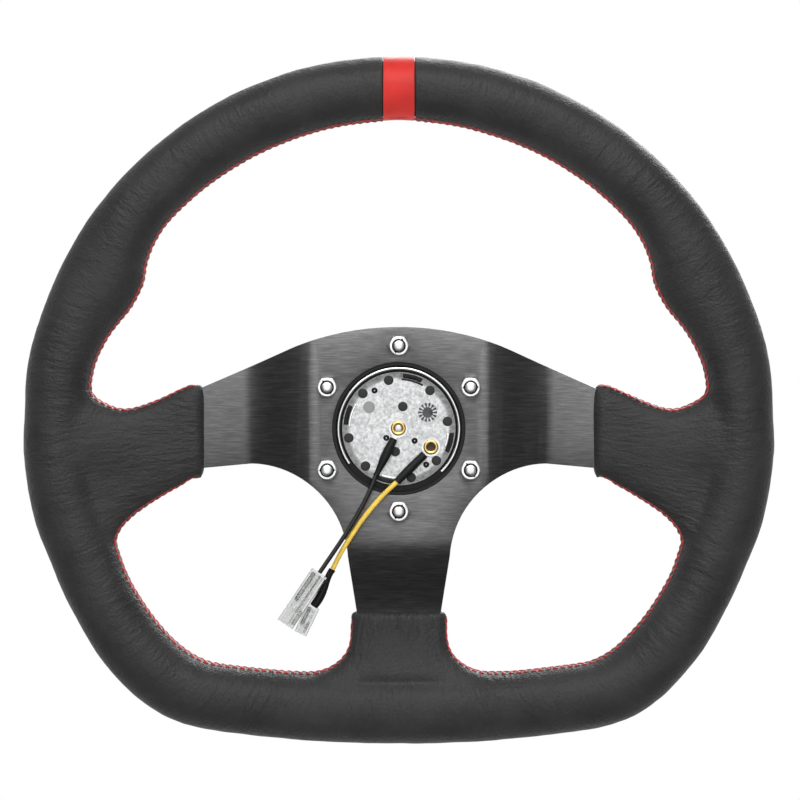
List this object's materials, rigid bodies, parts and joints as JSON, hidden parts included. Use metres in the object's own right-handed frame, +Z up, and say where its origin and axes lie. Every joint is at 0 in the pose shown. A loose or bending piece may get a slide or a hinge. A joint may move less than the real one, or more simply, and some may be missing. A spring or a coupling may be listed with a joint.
{
  "type": "steering wheel",
  "caption": "Flat-bottomed leather steering wheel with a joggled three-spoke plate, a bolted round hub, a spring-loaded horn button and two horn leads.",
  "frame": {"origin": "centre of the bolt circle on the hub plate's rear face", "axes": "-Y out of the hub's rear face towards the steering column, +Y towards the driver, +Z up with the flat of the rim at the bottom, +X to the right as seen from the column"},
  "size_m": [0.3208, 0.0422, 0.2937],
  "materials": {
    "plate": "black anodised, brushed",
    "bright_fastener": "bright zinc",
    "black_fastener": "black oxide",
    "leather": "grained, matt",
    "red_leather": "smooth",
    "red_thread": "twisted thread",
    "foam": "moulded foam",
    "core_steel": "plain",
    "housing": "moulded",
    "zinc_sheet": "passivated zinc",
    "spring_steel": "bright",
    "dark_rivet": "moulded",
    "fibre": "pressed fibre",
    "brass": "bright",
    "tinned": "tinned",
    "heat_shrink": "satin",
    "black_insulation": "glossy",
    "yellow_insulation": "glossy",
    "clear_plastic": "clear nylon",
    "cap_plastic": "gloss",
    "insert": "spun"
  },
  "bodies": {
    "wheel": {"spoke_plate": "plate", "hub_screws": "bright_fastener", "hub_nuts": "bright_fastener", "horn_housing": "housing", "horn_circlip": "spring_steel", "base_plate": "zinc_sheet", "base_clips": "spring_steel", "base_rivets": "dark_rivet", "base_screws": "black_fastener", "insulator_stud": "fibre", "star_washer": "spring_steel", "centre_eyelet": "brass", "side_eyelet": "brass", "terminal_black": "tinned", "terminal_yellow": "tinned", "shrink_black": "heat_shrink", "shrink_yellow": "heat_shrink", "wire_black": "black_insulation", "wire_yellow": "yellow_insulation", "connector_sleeve": "heat_shrink", "connector_large": "clear_plastic", "connector_small": "clear_plastic", "contact_large": "tinned", "contact_small": "tinned", "rim_leather_left": "leather", "rim_leather_right": "leather", "boot_left": "leather", "boot_right": "leather", "boot_bottom": "leather", "centre_marker": "red_leather", "seam_top": "red_thread", "seam_left": "red_thread", "seam_right": "red_thread", "rim_core": "core_steel", "spoke_welds": "core_steel", "rim_foam": "foam", "insulator_disc": "fibre", "fixed_contact": "brass", "return_springs": "spring_steel"},
    "horn_button": {"horn_cap": "cap_plastic", "cap_insert": "insert", "moving_contact": "brass"}
  },
  "joints": [
    {"name": "horn_press", "type": "slide", "parent": "wheel", "child": "horn_button", "axis": [0, -1, 0], "range_m": [0, 0.0015], "stiffness_N_per_m": 1500, "springref_m": -0.002, "deforming": ["return_springs"]}
  ]
}
